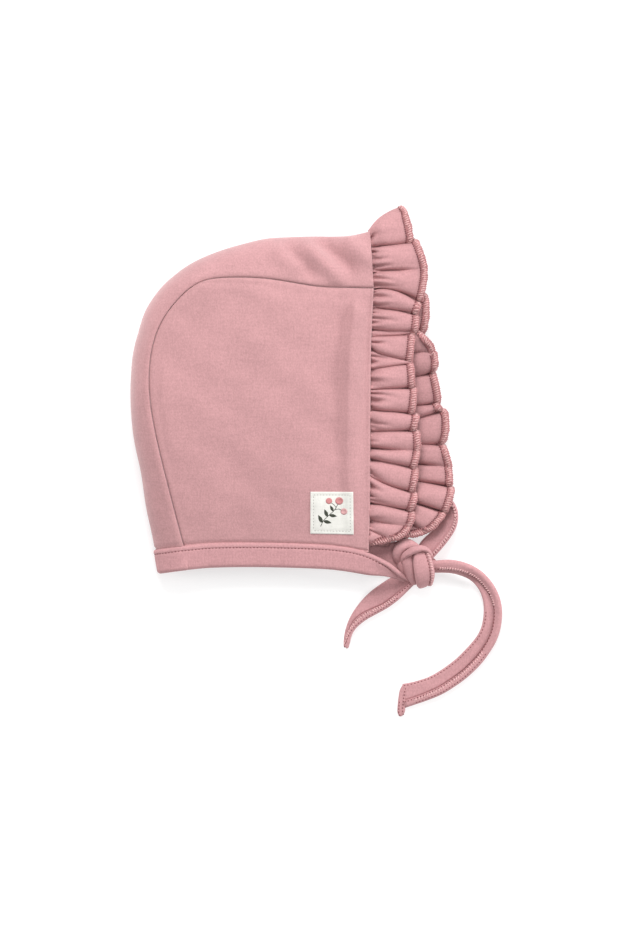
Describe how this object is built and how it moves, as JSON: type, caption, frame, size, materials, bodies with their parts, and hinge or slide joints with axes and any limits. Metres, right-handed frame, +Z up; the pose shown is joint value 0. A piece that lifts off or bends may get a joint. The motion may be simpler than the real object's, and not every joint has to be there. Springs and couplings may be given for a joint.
{
  "type": "baby sun bonnet",
  "caption": "Soft cotton baby bonnet lying flat on its side: side panels, centre strip over the head, gathered ruffle at the face, bound neck edge and loosely knotted ties.",
  "frame": {"origin": "on the surface that the bonnet lies on, under the middle of the bonnet without its ties", "axes": "+Z up from the surface, +Y to the top of the head, +X to the face opening and its ruffle"},
  "size_m": [0.2039, 0.2755, 0.0324],
  "materials": {
    "pink_jersey": "matte cotton knit, dusty pink",
    "ruffle_jersey": "matte cotton knit with an overlocked edge",
    "binding_jersey": "matte folded cotton knit with a row of stitches",
    "label_cloth": "matte woven cotton, off-white, printed"
  },
  "bodies": {
    "root": {"side_panel_upper": "pink_jersey", "side_panel_lower": "pink_jersey", "centre_strip": "pink_jersey", "face_ruffle": "ruffle_jersey", "neck_binding": "binding_jersey", "label_patch": "label_cloth", "tie_lead": "binding_jersey", "tie_chin_loop": "binding_jersey", "tie_knot": "binding_jersey", "tie_tail_long": "binding_jersey", "tie_tail_short": "binding_jersey"}
  },
  "joints": []
}
